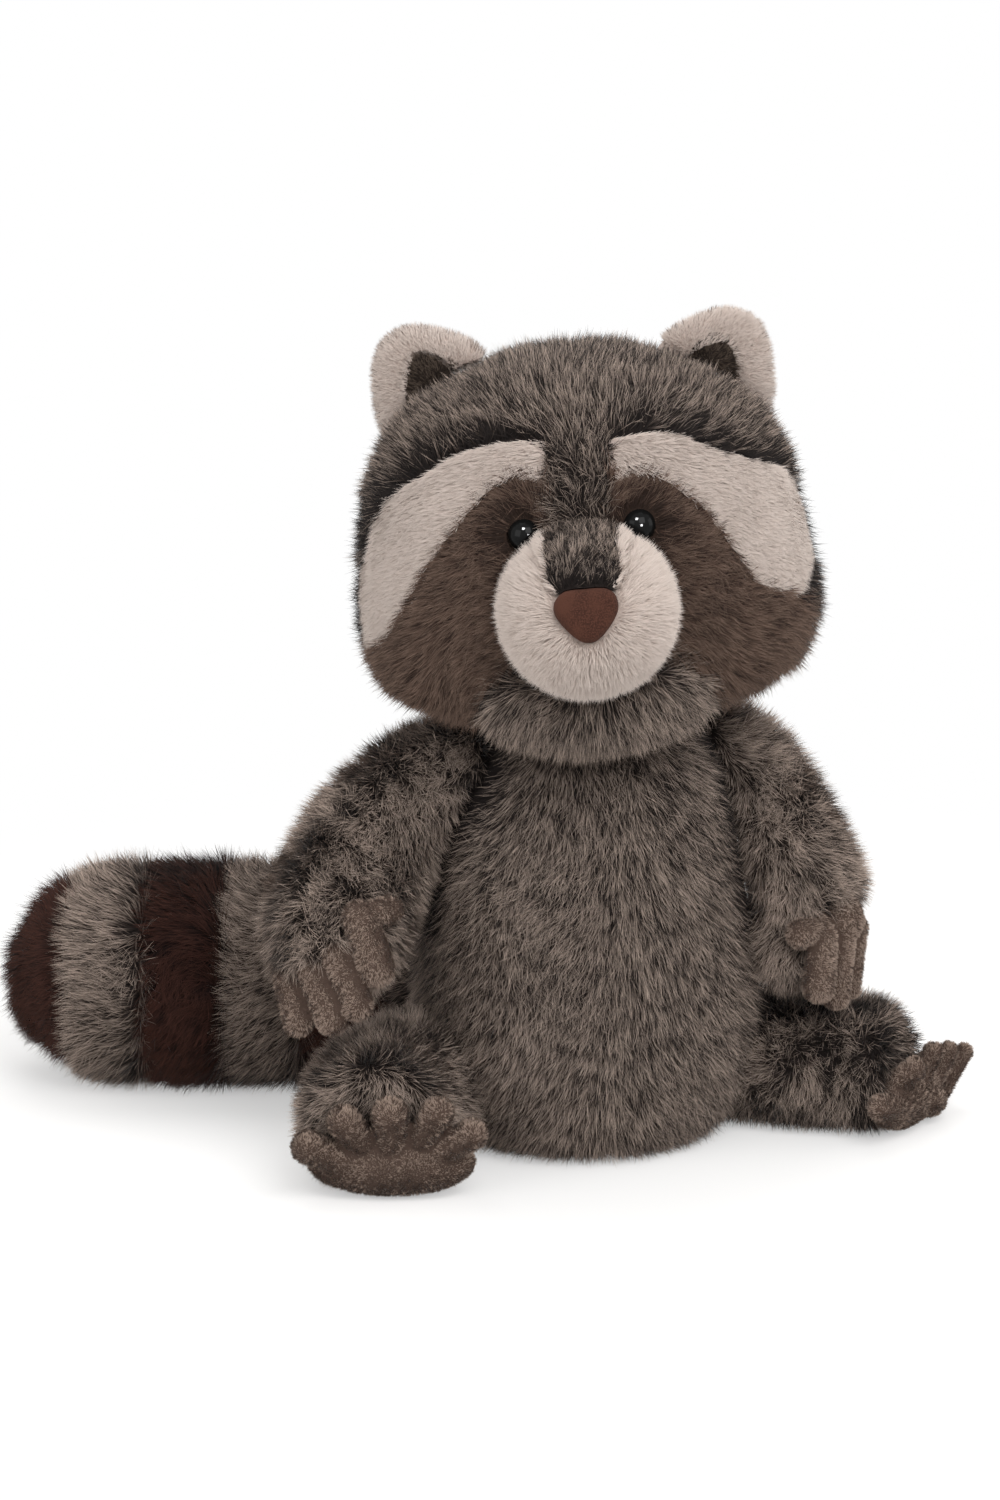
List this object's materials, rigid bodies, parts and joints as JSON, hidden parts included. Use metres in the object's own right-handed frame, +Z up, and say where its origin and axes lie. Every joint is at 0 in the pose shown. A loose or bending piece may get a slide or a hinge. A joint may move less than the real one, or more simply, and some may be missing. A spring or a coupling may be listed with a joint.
{
  "type": "plush raccoon",
  "caption": "Sitting plush raccoon with a turned head, sewn face mask, safety eyes, resting arms, splayed feet and a fat ringed tail.",
  "frame": {"origin": "middle of the torso's flat seat, on the surface that the toy sits on", "axes": "+Z up, -Y the way the body faces, +X the toy's own left"},
  "size_m": [0.2825, 0.2352, 0.2714],
  "materials": {
    "grey_fur": "long heathered pile",
    "beige_plush": "short dense pile",
    "mask_fur": "long soft pile",
    "paw_plush": "short velvety pile",
    "tail_brown_fur": "long dense pile",
    "ear_lining_plush": "short pile",
    "nose_suede": "suede",
    "eye_plastic": "polished",
    "washer_plastic": "moulded"
  },
  "bodies": {
    "root": {"torso": "grey_fur", "head": "grey_fur", "chin_ruff": "grey_fur", "snout_bridge": "grey_fur", "arm_left": "grey_fur", "arm_right": "grey_fur", "leg_left": "grey_fur", "leg_right": "grey_fur", "tail_root_grey": "grey_fur", "tail_ring_grey_inner": "grey_fur", "tail_ring_grey_outer": "grey_fur", "brow_stripe_left": "beige_plush", "brow_stripe_right": "beige_plush", "muzzle": "beige_plush", "ear_left": "beige_plush", "ear_right": "beige_plush", "mask_patch_left": "mask_fur", "mask_patch_right": "mask_fur", "hand_left": "paw_plush", "hand_right": "paw_plush", "foot_left": "paw_plush", "foot_right": "paw_plush", "tail_ring_brown_inner": "tail_brown_fur", "tail_ring_brown_outer": "tail_brown_fur", "tail_tip_brown": "tail_brown_fur", "ear_lining_left": "ear_lining_plush", "ear_lining_right": "ear_lining_plush", "nose": "nose_suede", "eye_left": "eye_plastic", "eye_right": "eye_plastic", "eye_washer_left": "washer_plastic", "eye_washer_right": "washer_plastic"}
  },
  "joints": []
}
